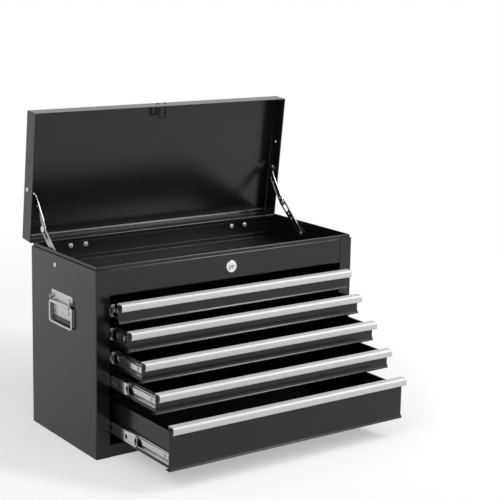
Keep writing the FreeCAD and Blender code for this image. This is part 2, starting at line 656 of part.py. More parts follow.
slide_start = front + slide_front
slide_length = back - sheet - slide_rear_gap - slide_start
middle_length = slide_length - middle_short
outer_half = slide_height / 2
middle_half = outer_half - slide_sheet - fit_gap
inner_half = middle_half - slide_sheet - fit_gap
lip_end = slide_depth - slide_sheet - fit_gap
web_next = slide_sheet + fit_gap
side_rails, trays, trims, caps, slide_members, middle_members = [], [], [], [], [], []
fronts = []
top = rail_bottom - top_gap
for k in range(shallow_drawers):
    fronts.append((top, top - drawer_height, wall_drop))
    top -= drawer_height + (drawer_gap if k < shallow_drawers - 1 else deep_gap)
fronts.append((top, sill_height + base_gap, deep_wall_drop))
for (top, low, drop), out, lag in zip(fronts, drawer_out, middle_lag):
    level = low + slide_level
    side_rails.append(slide_channel(0, lip_end, outer_half, slide_start, slide_length, level))

    floor = low + sheet / 2
    tray_half = post_inner - slide_depth - sheet / 2
    wall_top = top - drop - sheet / 2
    panel = front + front_setback + sheet / 2
    right_wall = [(tray_half, floor), (tray_half, wall_top), (tray_half - hem_step, wall_top),
                  (tray_half - hem_step, wall_top - 7)]
    left_wall = [(-x, z) for x, z in reversed(right_wall)]
    rear = tray_back - sheet / 2
    rear_top = wall_top - 0.4
    tray = join(
        bent_sheet(left_wall + right_wall, sheet, "XZ", panel, tray_back - panel),
        bent_sheet([(rear, floor), (rear, rear_top), (rear - hem_step, rear_top),
                    (rear - hem_step, rear_top - 7)],
                   sheet, "YZ", -tray_half, 2 * tray_half),
        bent_sheet([(panel, top - trim_sheet), (panel, low + bevel_height + sheet / 2),
                    (panel - bevel_reach, floor), (panel + 12, floor)],
                   sheet, "YZ", -front_half, 2 * front_half, [None, bend]))
    away = V(0, -out, 0)
    tray.translate(away)
    trays.append(tray)

    face = front + trim_sheet / 2
    crown = top - trim_sheet / 2
    hook = panel + sheet / 2 + trim_sheet / 2
    trim = bent_sheet([(front + trim_lip, top - trim_height + trim_sheet / 2),
                       (face, top - trim_height + trim_sheet / 2), (face, crown), (hook, crown),
                       (hook, top - hook_drop)],
                      trim_sheet, "YZ", -front_half, 2 * front_half, [0.8, trim_bend, None])
    trim.translate(away)
    trims.append(trim)
    skin = trim_sheet + cap_gap
    cap = outline([(panel - sheet / 2, top - skin), (front + 5, top - skin), (front + skin, top - 5),
                   (front + skin, top - trim_height + skin + 1), (front + skin + 1, top - trim_height + skin),
                   (panel - sheet / 2, top - trim_height + skin)],
                  "YZ", front_half - cap_length, cap_length - fit_gap)
    cap.translate(away)
    caps.append(cap)

    member = slide_channel(slide_depth, web_next + slide_sheet + fit_gap, inner_half, slide_start,
                           slide_length, level)
    member.translate(away)
    slide_members.append(member)
    middle = slide_channel(web_next, lip_end, middle_half, slide_start + lag, middle_length, level)
    middle.translate(away * 0.5)
    middle_members.append(middle)

pieces = {
    "left_side_panel": mirrored(right_side_panel),
    "right_side_panel": right_side_panel,
    "back_panel": back_panel,
    "base_pan": base_pan,
    "top_rail": top_rail,
    "till_tray": till_tray,
    "rear_rim": rear_rim,
    "left_slide_rails": group([mirrored(rail_piece) for rail_piece in side_rails]),
    "right_slide_rails": group(side_rails),
    "body_hinge_leaves": group(body_leaves),
    "hinge_pins": group(hinge_pins),
    "hinge_bolts": group(hinge_bolts),
    "hinge_nuts": group(hinge_nuts),
    "handle_plates": both_sides(handle_plate),
    "handle_screws": group(handle_screws + [mirrored(screw) for screw in handle_screws]),
    "lock_cylinder": lock_cylinder,
    "lock_nut": lock_nut,
    "stay_lower_pivots": both_sides(lower_pivot),
    "lid_shell": lid_turned(lid_shell),
    "lid_catch": lid_turned(lid_catch),
    "lid_hinge_leaves": lid_turned(group(lid_leaves)),
    "lid_rivets": lid_turned(group(lid_rivets)),
    "stay_upper_pivots": lid_turned(both_sides(upper_pivot)),
    "lock_core": lock_core,
    "lock_cam": lock_cam,
    "lock_cam_screw": lock_cam_screw,
    "left_bail": mirrored(right_bail),
    "right_bail": right_bail,
    "left_lower_arm": mirrored(right_lower_arm),
    "right_lower_arm": right_lower_arm,
    "left_upper_arm": mirrored(right_upper_arm),
    "right_upper_arm": right_upper_arm,
    "left_knee_pin": mirrored(right_knee_pin),
    "right_knee_pin": right_knee_pin,
}
for k in range(len(fronts)):
    number = k + 1
    pieces[f"drawer_{number}_tray"] = trays[k]
    pieces[f"drawer_{number}_trim"] = trims[k]
    pieces[f"drawer_{number}_trim_caps"] = both_sides(caps[k])
    pieces[f"drawer_{number}_slide_members"] = both_sides(slide_members[k])
    pieces[f"drawer_{number}_middle_members"] = both_sides(middle_members[k])

for name, shape in pieces.items():
    shape.exportStep(f"parts/{name}.step")
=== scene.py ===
import json
import math

import bmesh
import bpy
from mathutils import Matrix, Vector


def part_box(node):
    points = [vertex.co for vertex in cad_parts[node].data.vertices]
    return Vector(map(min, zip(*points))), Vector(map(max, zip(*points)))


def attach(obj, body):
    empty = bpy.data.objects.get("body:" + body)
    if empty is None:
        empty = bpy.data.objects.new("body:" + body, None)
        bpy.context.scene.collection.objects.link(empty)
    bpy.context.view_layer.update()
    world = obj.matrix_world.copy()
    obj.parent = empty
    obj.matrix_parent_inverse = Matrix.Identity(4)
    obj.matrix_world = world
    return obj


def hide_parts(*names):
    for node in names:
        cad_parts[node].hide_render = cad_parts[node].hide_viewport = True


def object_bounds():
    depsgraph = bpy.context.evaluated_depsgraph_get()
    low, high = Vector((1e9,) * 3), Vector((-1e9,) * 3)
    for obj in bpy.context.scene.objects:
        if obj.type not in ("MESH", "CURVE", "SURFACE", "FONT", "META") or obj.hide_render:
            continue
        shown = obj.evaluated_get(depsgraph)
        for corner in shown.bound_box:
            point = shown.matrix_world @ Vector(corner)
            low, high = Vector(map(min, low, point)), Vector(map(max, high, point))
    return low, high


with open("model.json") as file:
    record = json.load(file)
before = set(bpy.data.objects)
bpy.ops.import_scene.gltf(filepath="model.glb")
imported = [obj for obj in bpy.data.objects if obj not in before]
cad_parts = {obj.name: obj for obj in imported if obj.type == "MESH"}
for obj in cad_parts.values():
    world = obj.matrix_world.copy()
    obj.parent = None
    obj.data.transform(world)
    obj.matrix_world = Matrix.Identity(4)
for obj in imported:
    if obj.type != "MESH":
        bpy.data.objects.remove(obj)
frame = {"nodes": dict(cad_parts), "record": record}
cad_box = [list(corner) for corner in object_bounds()]
nodes = frame["nodes"]

MM = 0.001
DRAWERS = range(1, 6)

# Camera
CAMERA_PLACE = (-1.51961, -2.30864, 0.96315)
CAMERA_YAW = 0.597
CAMERA_PITCH = 0.1872
CAMERA_ROLL = -0.0137
CAMERA_LENS = 97.74
CAMERA_SHIFT = (0.07, -0.08)


def add_camera():
    camera = placed("camera", bpy.data.cameras.new("camera"))
    yaw, pitch, roll = CAMERA_YAW, CAMERA_PITCH, CAMERA_ROLL
    ahead = Vector((math.sin(yaw) * math.cos(pitch), math.cos(yaw) * math.cos(pitch), -math.sin(pitch)))
    right = Vector((math.cos(yaw), -math.sin(yaw), 0))
    down = ahead.cross(right)
    rolled_right = math.cos(roll) * right + math.sin(roll) * down
    rolled_down = -math.sin(roll) * right + math.cos(roll) * down
    turn = Matrix((rolled_right, -rolled_down, -ahead)).transposed()
    camera.matrix_world = Matrix.Translation(CAMERA_PLACE) @ turn.to_4x4()
    camera.data.sensor_width = 36
    camera.data.lens = CAMERA_LENS
    camera.data.shift_x, camera.data.shift_y = CAMERA_SHIFT
    camera.data.clip_end = 100
    bpy.context.scene.camera = camera


# Shader maths
class Field:
    """A shader socket that takes part in sums, so that a pattern reads as one expression."""

    def __init__(self, sketch, socket):
        self.sketch = sketch
        self.socket = socket

    def maths(self, operation, *values):
        return self.sketch.add("ShaderNodeMath", {"operation": operation}, *values)

    def __add__(self, other):
        return self.maths("ADD", self, other)

    __radd__ = __add__

    def __mul__(self, other):
        return self.maths("MULTIPLY", self, other)

    __rmul__ = __mul__

    def __sub__(self, other):
        return self.maths("SUBTRACT", self, other)

    def __rsub__(self, other):
        return self.maths("SUBTRACT", other, self)

    def clamp(self, low=0.0, high=1.0):
        return self.sketch.add("ShaderNodeClamp", {}, self, low, high)

    def step(self, start, end):
        """0 below start, 1 above end, smooth between."""
        return self.sketch.add("ShaderNodeMapRange", {"interpolation_type": "SMOOTHSTEP"},
                               self, start, end, 0.0, 1.0)


class Sketch:
    """One material, or the world, drawn as nodes."""

    def __init__(self, name, world=None):
        self.owner = world or bpy.data.materials.new(name)
        self.owner.use_nodes = True
        self.tree = self.owner.node_tree
        self.tree.nodes.clear()
        self.output = self.tree.nodes.new("ShaderNodeOutputWorld" if world else "ShaderNodeOutputMaterial")

    def add(self, kind, settings, *values, out=0, **named):
        node = self.tree.nodes.new(kind)
        for key, value in settings.items():
            if key == "stops":
                ramp = node.color_ramp
                while len(ramp.elements) < len(value):
                    ramp.elements.new(0.5)
                for element, (place, colour) in zip(ramp.elements, value):
                    element.position = place
                    element.color = colour
            else:
                setattr(node, key, value)
        slots = [(node.inputs[k], v) for k, v in enumerate(values)]
        slots += [(node.inputs[k.replace("_", " ")], v) for k, v in named.items()]
        for socket, value in slots:
            if value is None:
                continue
            if isinstance(value, Field):
                self.tree.links.new(value.socket, socket)
            else:
                socket.default_value = value
        return Field(self, node.outputs[out])

    def place(self):
        return self.add("ShaderNodeTexCoord", {}, out=3)

    def axis(self, vector, name):
        return self.add("ShaderNodeSeparateXYZ", {}, vector, out="XYZ".index(name))

    def stretched(self, vector, scale):
        return self.add("ShaderNodeVectorMath", {"operation": "MULTIPLY"}, vector, scale)

    def noise(self, vector, scale, detail=2.0, rough=0.5):
        return self.add("ShaderNodeTexNoise", {}, vector, None, scale, detail, rough)

    def blend(self, mask, first, second):
        """Colour first where the mask is 0, second where it is 1."""
        node = self.tree.nodes.new("ShaderNodeMix")
        node.data_type = "RGBA"
        self.tree.links.new(mask.socket, node.inputs[0])
        for socket, value in ((node.inputs[6], first), (node.inputs[7], second)):
            if isinstance(value, Field):
                self.tree.links.new(value.socket, socket)
            else:
                socket.default_value = value
        return Field(self, node.outputs[2])

    def bump(self, height, strength, distance, normal=None):
        return self.add("ShaderNodeBump", {}, Strength=strength, Distance=distance, Height=height,
                        Normal=normal)

    def ends_with(self, shader):
        self.tree.links.new(shader.socket, self.output.inputs[0])
        return self.owner

    def surface(self, **named):
        return self.ends_with(self.add("ShaderNodeBsdfPrincipled", {}, **named))


def grey(value):
    return (value, value, value, 1.0)


def powder_coat(name, tone, roughness):
    """Semi-gloss black powder coat: fine orange peel, faint cloudy sheen."""
    s = Sketch(name)
    at = s.place()
    peel = s.noise(at, 1500, 2.0, 0.6)
    clouds = s.noise(at, 9, 3.0, 0.5)
    specks = s.noise(at, 5200, 1.0, 0.5).step(0.66, 0.74)
    colour = s.blend(clouds, grey(tone * 0.88), grey(tone * 1.12))
    colour = s.blend(specks * 0.25, colour, grey(tone * 2.2))
    edge = s.add("ShaderNodeBevel", {"samples": 6}, 0.0011)
    return s.surface(Base_Color=colour, Roughness=roughness + (peel - 0.5) * 0.08 + (clouds - 0.5) * 0.05,
                     Specular_IOR_Level=0.45, Normal=s.bump(peel, 0.14, 0.00004, edge))


def zinc(name, tone, roughness):
    """Bright zinc plate on pressed steel: faint rolling streaks and cloudy patches."""
    s = Sketch(name)
    at = s.place()
    streaks = s.noise(s.stretched(at, (300.0, 12.0, 300.0)), 6, 3.0, 0.6)
    clouds = s.noise(at, 60, 3.0, 0.55)
    colour = s.blend(clouds, grey(tone * 0.90), grey(min(tone * 1.08, 0.95)))
    edge = s.add("ShaderNodeBevel", {"samples": 4}, 0.0004)
    return s.surface(Base_Color=colour, Metallic=1.0,
                     Roughness=roughness + (streaks - 0.5) * 0.09 + (clouds - 0.5) * 0.07,
                     Normal=s.bump(streaks, 0.08, 0.00003, edge))


def satin_aluminium(name):
    """Anodised trim: matt, with drawing lines along the drawer."""
    s = Sketch(name)
    at = s.place()
    lines = s.noise(s.stretched(at, (2.0, 900.0, 900.0)), 3, 2.0, 0.6)
    grain = s.noise(at, 2500, 1.0, 0.5)
    colour = s.blend(lines, grey(0.53), grey(0.60))
    return s.surface(Base_Color=colour, Metallic=1.0,
                     Roughness=0.70 + (lines - 0.5) * 0.12 + (grain - 0.5) * 0.05,
                     Normal=s.bump(lines, 0.10, 0.00004))


def polished(name, tone, roughness):
    """Plated or ground metal with a slight haze."""
    s = Sketch(name)
    at = s.place()
    haze = s.noise(at, 400, 3.0, 0.6)
    return s.surface(Base_Color=s.blend(haze, grey(tone * 0.94), grey(tone)), Metallic=1.0,
                     Roughness=roughness + (haze - 0.5) * 0.10, Normal=s.bump(haze, 0.05, 0.00003))


def moulded(name, tone):
    """Black injection-moulded plastic with a fine spark-eroded grain."""
    s = Sketch(name)
    at = s.place()
    grain = s.noise(at, 3000, 2.0, 0.6)
    return s.surface(Base_Color=s.blend(grain, grey(tone * 0.8), grey(tone * 1.3)),
                     Roughness=0.55 + (grain - 0.5) * 0.2, Specular_IOR_Level=0.22,
                     Normal=s.bump(grain, 0.3, 0.00004))


def paint(node, material):
    """The node's plain solid in its material, for what isn't replaced below."""
    piece = nodes[node]
    if not piece.material_slots:
        piece.data.materials.append(material)
    for slot in piece.material_slots:
        slot.material = material


body_paint = powder_coat("body_powder_coat", 0.005, 0.22)
drawer_paint = powder_coat("drawer_powder_coat", 0.006, 0.21)
slide_zinc = zinc("slide_zinc", 0.64, 0.12)
stay_zinc = zinc("stay_zinc", 0.36, 0.22)
catch_zinc = zinc("catch_zinc", 0.03, 0.24)
nut_zinc = zinc("nut_zinc", 0.88, 0.40)
handle_zinc = zinc("handle_zinc", 0.52, 0.24)
fastener_zinc = zinc("fastener_zinc", 0.60, 0.22)
trim_metal = satin_aluminium("trim_aluminium")
lock_chrome = polished("lock_chrome", 0.8, 0.12)
core_steel = zinc("lock_core_steel", 0.55, 0.3)
cap_plastic = moulded("cap_plastic", 0.006)
ball_steel = polished("ball_steel", 0.8, 0.10)
dull_zinc = zinc("dull_zinc", 0.40, 0.36)
finishes = {
    "body_paint": body_paint, "drawer_paint": drawer_paint, "slide_steel": slide_zinc,
    "stay_zinc": stay_zinc, "fastener_steel": fastener_zinc, "trim_aluminium": trim_metal,
    "cap_plastic": cap_plastic, "lock_chrome": lock_chrome, "lock_core_steel": core_steel,
    "handle_zinc": handle_zinc,
}
for entry in frame["record"]["subparts"]:
    paint(entry["node"], finishes[entry["material_slot"]])
paint("lid_catch", catch_zinc)


# Shapes, drawn in millimetres
EASED_ANGLE = 35           # edges sharper than this are rounded
MERGED = 1e-6              # points of a solid nearer than this, in metres, are one
FLAT_ANGLE = 0.6           # facets within this angle are one face


def closed_prism(near, far):
    """Closed prism between two loops of as many points."""
    shape = bmesh.new()
    ends = [[shape.verts.new(point) for point in loop] for loop in (near, far)]
    shape.faces.new(ends[0])
    shape.faces.new(list(reversed(ends[1])))
    count = len(ends[0])
    for k in range(count):
        n = (k + 1) % count
        shape.faces.new([ends[0][k], ends[1][k], ends[1][n], ends[0][n]])
    bmesh.ops.recalc_face_normals(shape, faces=shape.faces)
    return shape


def prism_along_x(outline, x0, x1):
    """Closed prism out of an outline of Y and Z points."""
    return closed_prism(*([(x, y, z) for y, z in outline] for x in (x0, x1)))


def prism_along_y(outline, y0, y1):
    """Closed prism out of an outline of X and Z points."""
    return closed_prism(*([(x, y, z) for x, z in outline] for y in (y0, y1)))


def prism_along_z(outline, z0, z1):
    """Closed prism out of an outline of X and Y points."""
    return closed_prism(*([(x, y, z) for x, y in outline] for z in (z0, z1)))


def rectangle(a0, a1, b0, b1):
    return [(a0, b0), (a1, b0), (a1, b1), (a0, b1)]


def sheet_outline(path, thickness):
    """Outline of a sheet that follows a path of straight runs."""
    points = [Vector(p) for p in path]
    ways = [(b - a).normalized() for a, b in zip(points, points[1:])]
    sides = [Vector((-w.y, w.x)) for w in ways]
    offsets = [sides[0] * (thickness / 2)]
    for before, after in zip(sides, sides[1:]):
        offsets.append((before + after) * (thickness / 2 / (1 + before.dot(after))))
    offsets.append(sides[-1] * (thickness / 2))
    return ([tuple(p + o) for p, o in zip(points, offsets)]
            + [tuple(p - o) for p, o in zip(reversed(points), reversed(offsets))])


def arc(centre, radius, start, end, steps):
    """Points along an arc, angles in degrees."""
    return [(centre[0] + radius * math.cos(math.radians(start + (end - start) * k / steps)),
             centre[1] + radius * math.sin(math.radians(start + (end - start) * k / steps)))
            for k in range(steps + 1)]


def turned(profile, sides=40):
    """Closed turned shape about Z: the profile is a loop of radius and height."""
    shape = bmesh.new()
    rings = []
    for radius, height in profile:
        if radius < 1e-6:
            rings.append([shape.verts.new((0, 0, height))])
        else:
            rings.append([shape.verts.new((radius * math.cos(2 * math.pi * k / sides),
                                           radius * math.sin(2 * math.pi * k / sides), height))
                          for k in range(sides)])
    closed = profile[0][0] > 1e-6
    for lower, upper in zip(rings, rings[1:] + (rings[:1] if closed else [])):
        for k in range(sides):
            n = (k + 1) % sides
            corners = [lower[k % len(lower)], lower[n % len(lower)], upper[n % len(upper)],
                       upper[k % len(upper)]]
            corners = list(dict.fromkeys(corners))
            if len(corners) > 2:
                shape.faces.new(corners)
    bmesh.ops.recalc_face_normals(shape, faces=shape.faces)
    return shape


def moved(shape, offset=(0, 0, 0), turn=None, flip=False):
    """The shape turned, moved, and mirrored to the left side if asked."""
    if turn is not None:
        bmesh.ops.transform(shape, matrix=turn.to_4x4(), verts=shape.verts)
    bmesh.ops.translate(shape, vec=offset, verts=shape.verts)
    if flip:
        bmesh.ops.scale(shape, vec=(-1, 1, 1), verts=shape.verts)
        bmesh.ops.reverse_faces(shape, faces=shape.faces)
    return shape


def mesh_of(shapes):
    """One mesh, in metres, out of shapes drawn in millimetres."""
    mesh = bpy.data.meshes.new("shape")
    whole = bmesh.new()
    for shape in shapes:
        part = bpy.data.meshes.new("part")
        shape.to_mesh(part)
        whole.from_mesh(part)
        bpy.data.meshes.remove(part)
        shape.free()
    bmesh.ops.scale(whole, vec=(MM, MM, MM), verts=whole.verts)
    whole.to_mesh(mesh)
    whole.free()
    return mesh


def evaluated(thing):
    """The object's mesh with its modifiers worked out."""
    bpy.context.view_layer.update()
    graph = bpy.context.evaluated_depsgraph_get()
    return bpy.data.meshes.new_from_object(thing.evaluated_get(graph), depsgraph=graph)


def placed(name, mesh):
    piece = bpy.data.objects.new(name, mesh)
    bpy.context.scene.collection.objects.link(piece)
    return piece


def drilled(mesh, cutter):
    """The mesh with the cutter's shapes taken out."""
    return shaped(mesh, cutter, "DIFFERENCE")


def shaped(mesh, cutter, operation):
    piece, tool = placed("blank", mesh), placed("cutter", cutter)
    modifier = piece.modifiers.new("holes", "BOOLEAN")
    modifier.operation = operation
    modifier.solver = "EXACT"
    modifier.object = tool
    result = evaluated(piece)
    bpy.data.objects.remove(piece)
    bpy.data.objects.remove(tool)
    return result


def rounded(mesh, width, segments=2):
    """The mesh with its sharp edges eased."""
    piece = placed("blank", mesh)
    modifier = piece.modifiers.new("edges", "BEVEL")
    modifier.width = width * MM
    modifier.segments = segments
    modifier.limit_method = "ANGLE"
    modifier.angle_limit = math.radians(EASED_ANGLE)
    result = evaluated(piece)
    bpy.data.objects.remove(piece)
    return result


def joined(meshes, name):
    mesh = bpy.data.meshes.new(name)
    whole = bmesh.new()
    for part in meshes:
        whole.from_mesh(part)
    whole.to_mesh(mesh)
    whole.free()
    return mesh


def shifted(mesh, offset, flip=False):
    """A copy of the mesh moved by millimetres, mirrored to the left side if asked."""
    shape = bmesh.new()
    shape.from_mesh(mesh)
    moved(shape, [v * MM for v in offset], None, flip)
    copy = bpy.data.meshes.new("copy")
    shape.to_mesh(copy)
    shape.free()
    return copy


def shaded(mesh, smooth):
    """The mesh shaded smooth across edges flatter than so many degrees."""
    for polygon in mesh.polygons:
        polygon.use_smooth = True
    mesh.set_sharp_from_angle(angle=math.radians(smooth))
    return mesh


def settled(name, mesh, finish, body, replaced):
    """A finished piece on its body, with its material and the solids that it stands for."""
    mesh.materials.clear()
    mesh.materials.append(finish)
    piece = placed(name, mesh)
    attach(piece, body)
    if replaced:
        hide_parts(*replaced)


def fitted(name, mesh, finish, body, replaced=(), smooth=30):
    """A piece drawn here."""
    settled(name, shaded(mesh, smooth), finish, body, replaced)


def dressed(node, body, finish, smooth=34):
    """A piece with the node's own shape, its bends shaded smooth and its edges clean."""
    shape = bmesh.new()
    shape.from_mesh(nodes[node].data)
    bmesh.ops.remove_doubles(shape, verts=shape.verts, dist=MERGED)
    bmesh.ops.dissolve_limit(shape, angle_limit=math.radians(FLAT_ANGLE), verts=shape.verts,
                             edges=shape.edges)
    mesh = bpy.data.meshes.new(node)
    shape.to_mesh(mesh)
    shape.free()
    blank = placed("blank", shaded(mesh, smooth))
    modifier = blank.modifiers.new("flats", "WEIGHTED_NORMAL")
    modifier.keep_sharp = True
    modifier.weight = 90
    mesh = evaluated(blank)
    bpy.data.objects.remove(blank)
    settled(f"{node}_smooth", mesh, finish, body, [node])


class Recipe:
    """A Geometry Nodes tree with named inputs, for what repeats or follows a path."""

    KINDS = {"number": "NodeSocketFloat", "length": "NodeSocketFloat", "count": "NodeSocketInt",
             "switch": "NodeSocketBool", "material": "NodeSocketMaterial"}

    def __init__(self, name, **inputs):
        self.tree = bpy.data.node_groups.new(name, "GeometryNodeTree")
        face = self.tree.interface
        face.new_socket("Geometry", in_out="INPUT", socket_type="NodeSocketGeometry")
        self.keys = {}
        for key, kind in inputs.items():
            socket = face.new_socket(key.replace("_", " ").title(), in_out="INPUT",
                                     socket_type=self.KINDS[kind])
            self.keys[key] = socket.identifier
        face.new_socket("Geometry", in_out="OUTPUT", socket_type="NodeSocketGeometry")
        self.group = self.tree.nodes.new("NodeGroupInput")

    def __getitem__(self, key):
        return self.group.outputs[key.replace("_", " ").title()]

    def add(self, kind, *values, settings=None, out=0, **named):
        node = self.tree.nodes.new(kind)
        for key, value in (settings or {}).items():
            setattr(node, key, value)
        slots = list(zip(node.inputs, values))
        slots += [(node.inputs[key.replace("_", " ")], value) for key, value in named.items()]
        for socket, value in slots:
            if value is None:
                continue
            if isinstance(value, bpy.types.NodeSocket):
                self.tree.links.new(value, socket)
            elif isinstance(value, (list, tuple)) and value and isinstance(value[0], bpy.types.NodeSocket):
                for link in value:
                    self.tree.links.new(link, socket)
            else:
                socket.default_value = value
        return node.outputs[out]

    def maths(self, operation, *values):
        return self.add("ShaderNodeMath", *values, settings={"operation": operation})

    def ends_with(self, geometry):
        real = self.add("GeometryNodeRealizeInstances", geometry)
        painted = self.add("GeometryNodeSetMaterial", real, Material=self["material"])
        output = self.tree.nodes.new("NodeGroupOutput")
        self.tree.links.new(painted, output.inputs[0])

    def grown(self, seed, **values):
        """The mesh that the tree makes from a seed mesh or curve."""
        thing = placed("seed", seed)
        modifier = thing.modifiers.new("recipe", "NODES")
        modifier.node_group = self.tree
        for key, value in values.items():
            modifier[self.keys[key]] = value
        result = evaluated(thing)
        thing.modifiers.remove(modifier)
        bpy.data.objects.remove(thing)
        return result


def seeds(places, ways=None):
    """Points in millimetres, each with the direction that its copy faces."""
    mesh = bpy.data.meshes.new("seeds")
    mesh.from_pydata([[v * MM for v in place] for place in places], [], [])
    if ways:
        attribute = mesh.attributes.new("way", "FLOAT_VECTOR", "POINT")
        for k, way in enumerate(ways):
            attribute.data[k].vector = way
    return mesh


HEAD_RINGS = 9
HEAD_SIDES = 28
HEAD_CURVE = 2.4           # higher is squarer at the shoulder
HEAD_FLATNESS = 0.8
SHANK_SIDES = 20
RECESS_WIDTH = 0.9
RECESS_DEPTH = 1.1
RECESS_SPREAD = 4.0        # a recess bar's length over its width


def fastener_recipe():
    """Domed head on a round shank, with a cross recess where the switch is on."""
    r = Recipe("fasteners", head_radius="length", head_height="length", flatness="number",
               shank_radius="length", shank_length="length", recess_width="length", recess_depth="length",
               cross_recess="switch", material="material")
    top = r.add("ShaderNodeCombineXYZ", 0.0, 0.0, r["head_height"])
    line = r.add("GeometryNodeCurvePrimitiveLine", (0, 0, 0), top)
    line = r.add("GeometryNodeResampleCurve", line, Count=HEAD_RINGS)
    along = r.add("GeometryNodeSplineParameter")
    fall = r.maths("MULTIPLY", r.maths("POWER", along, HEAD_CURVE), r["flatness"])
    reach = r.maths("MULTIPLY", r["head_radius"], r.maths("SQRT", r.maths("SUBTRACT", 1.0, fall)))
    ring = r.add("GeometryNodeCurvePrimitiveCircle", HEAD_SIDES, Radius=1.0)
    head = r.add("GeometryNodeCurveToMesh", line, ring, reach, True)
    wide = r["recess_width"]
    long = r.maths("MULTIPLY", wide, RECESS_SPREAD)
    tall = r.maths("MULTIPLY", r["recess_depth"], 2.0)
    bars = []
    for size in ((wide, long, tall), (long, wide, tall)):
        bar = r.add("GeometryNodeMeshCube", r.add("ShaderNodeCombineXYZ", *size))
        bars.append(r.add("GeometryNodeTransform", bar, Translation=top))
    crossed = r.add("GeometryNodeMeshBoolean", head, bars, settings={"operation": "DIFFERENCE"})
    head = r.add("GeometryNodeSwitch", r["cross_recess"], head, crossed,
                 settings={"input_type": "GEOMETRY"})
    shank = r.add("GeometryNodeMeshCylinder", SHANK_SIDES, 1, 1, r["shank_radius"], r["shank_length"])
    down = r.add("ShaderNodeCombineXYZ", 0.0, 0.0, r.maths("MULTIPLY", r["shank_length"], -0.5))
    shank = r.add("GeometryNodeTransform", shank, Translation=down)
    whole = r.add("GeometryNodeJoinGeometry", [head, shank])
    way = r.add("GeometryNodeInputNamedAttribute", "way", settings={"data_type": "FLOAT_VECTOR"})
    turn = r.add("FunctionNodeAlignRotationToVector", None, 1.0, way, settings={"axis": "Z"})
    r.ends_with(r.add("GeometryNodeInstanceOnPoints", r["Geometry"], Instance=whole, Rotation=turn))
    return r


def ball_recipe():
    """A row of balls along Y from each seed."""
    r = Recipe("ball_rows", balls="count", pitch="length", ball_radius="length", material="material")
    step = r.add("ShaderNodeCombineXYZ", 0.0, r["pitch"], 0.0)
    row = r.add("GeometryNodeMeshLine", r["balls"], None, (0, 0, 0), step)
    ball = r.add("GeometryNodeMeshUVSphere", 8, 5, r["ball_radius"])
    row = r.add("GeometryNodeInstanceOnPoints", row, Instance=ball)
    r.ends_with(r.add("GeometryNodeInstanceOnPoints", r["Geometry"], Instance=row))
    return r


def wire_recipe():
    """Round wire along a path whose corners are rounded."""
    r = Recipe("bent_wire", wire_radius="length", corner_radius="length", corner_steps="count",
               material="material")
    path = r.add("GeometryNodeFilletCurve", r["Geometry"], r["corner_steps"], r["corner_radius"], True,
                 settings={"mode": "POLY"})
    ring = r.add("GeometryNodeCurvePrimitiveCircle", 24, Radius=r["wire_radius"])
    r.ends_with(r.add("GeometryNodeCurveToMesh", path, ring, Fill_Caps=True))
    return r


def knuckle_recipe():
    """A turned hinge knuckle along X at each seed."""
    r = Recipe("knuckles", knuckle_radius="length", knuckle_length="length", material="material")
    barrel = r.add("GeometryNodeMeshCylinder", 36, 1, 1, r["knuckle_radius"], r["knuckle_length"])
    barrel = r.add("GeometryNodeTransform", barrel, Rotation=(0, math.pi / 2, 0))
    r.ends_with(r.add("GeometryNodeInstanceOnPoints", r["Geometry"], Instance=barrel))
    return r


fasteners = fastener_recipe()
ball_rows = ball_recipe()
bent_wire = wire_recipe()
knuckles = knuckle_recipe()


# Head radius, head height, shank radius and shank length
HANDLE_SCREW = (3.6, 1.75, 1.9, 4.5)
HINGE_BOLT = (3.9, 2.2, 2.0, 7.0)
LID_RIVET = (3.4, 1.2, 1.9, 1.2)
FOOT_RIVET = (4.6, 1.4, 2.5, 1.2)
HEAD_RIVET = (4.6, 1.4, 2.5, 2.2)
CAM_SCREW = (3.9, 2.1, 2.0, 8.5)


def add_fasteners(name, places, ways, body, finish, sizes, replaced, cross=False):
    """Heads and shanks of one kind, one piece for the body."""
    head_radius, head_height, shank_radius, shank_length = (v * MM for v in sizes)
    mesh = fasteners.grown(seeds(places, ways), head_radius=head_radius, head_height=head_height,
                           flatness=HEAD_FLATNESS, shank_radius=shank_radius,
                           shank_length=shank_length, recess_width=RECESS_WIDTH * MM,
                           recess_depth=RECESS_DEPTH * MM, cross_recess=cross, material=finish)
    fitted(name, mesh, finish, body, replaced)


# Slides: three nested channels each, drawn for the right-hand side, from the front end back
SLIDE_START = -116.0       # front end of the body's member
SLIDE_LENGTH = 230.0
MIDDLE_LENGTH = 205.0
SLIDE_LEVEL = 21.0         # slide's centre above the drawer's underside
DRAWER_LOWS = (271.5, 225.5, 179.5, 133.5, 40.0)    # undersides, top to bottom
DRAWER_OUT = (42.5, 79.0, 129.0, 178.0, 225.0)      # pulled out at rest
MIDDLE_LAG = (0.0, 20.0, 40.0, 8.0, 0.0)            # middle member behind the slide's front end
SLIDE_SHEET = 1.0
# Each section: web, lip's tip, half height, half height of the band set in, and how far it is set in
INNER_SECTION = (270.0, 276.2, 10.4, 6.2, 0.35)
MIDDLE_SECTION = (278.2, 271.3, 11.7, 6.8, -0.35)
OUTER_SECTION = (279.5, 271.3, 13.0, 8.0, -0.3)
BALL_TRACK = (271.9, 9.0)  # where the inner lip drops into its track, and the track's half height
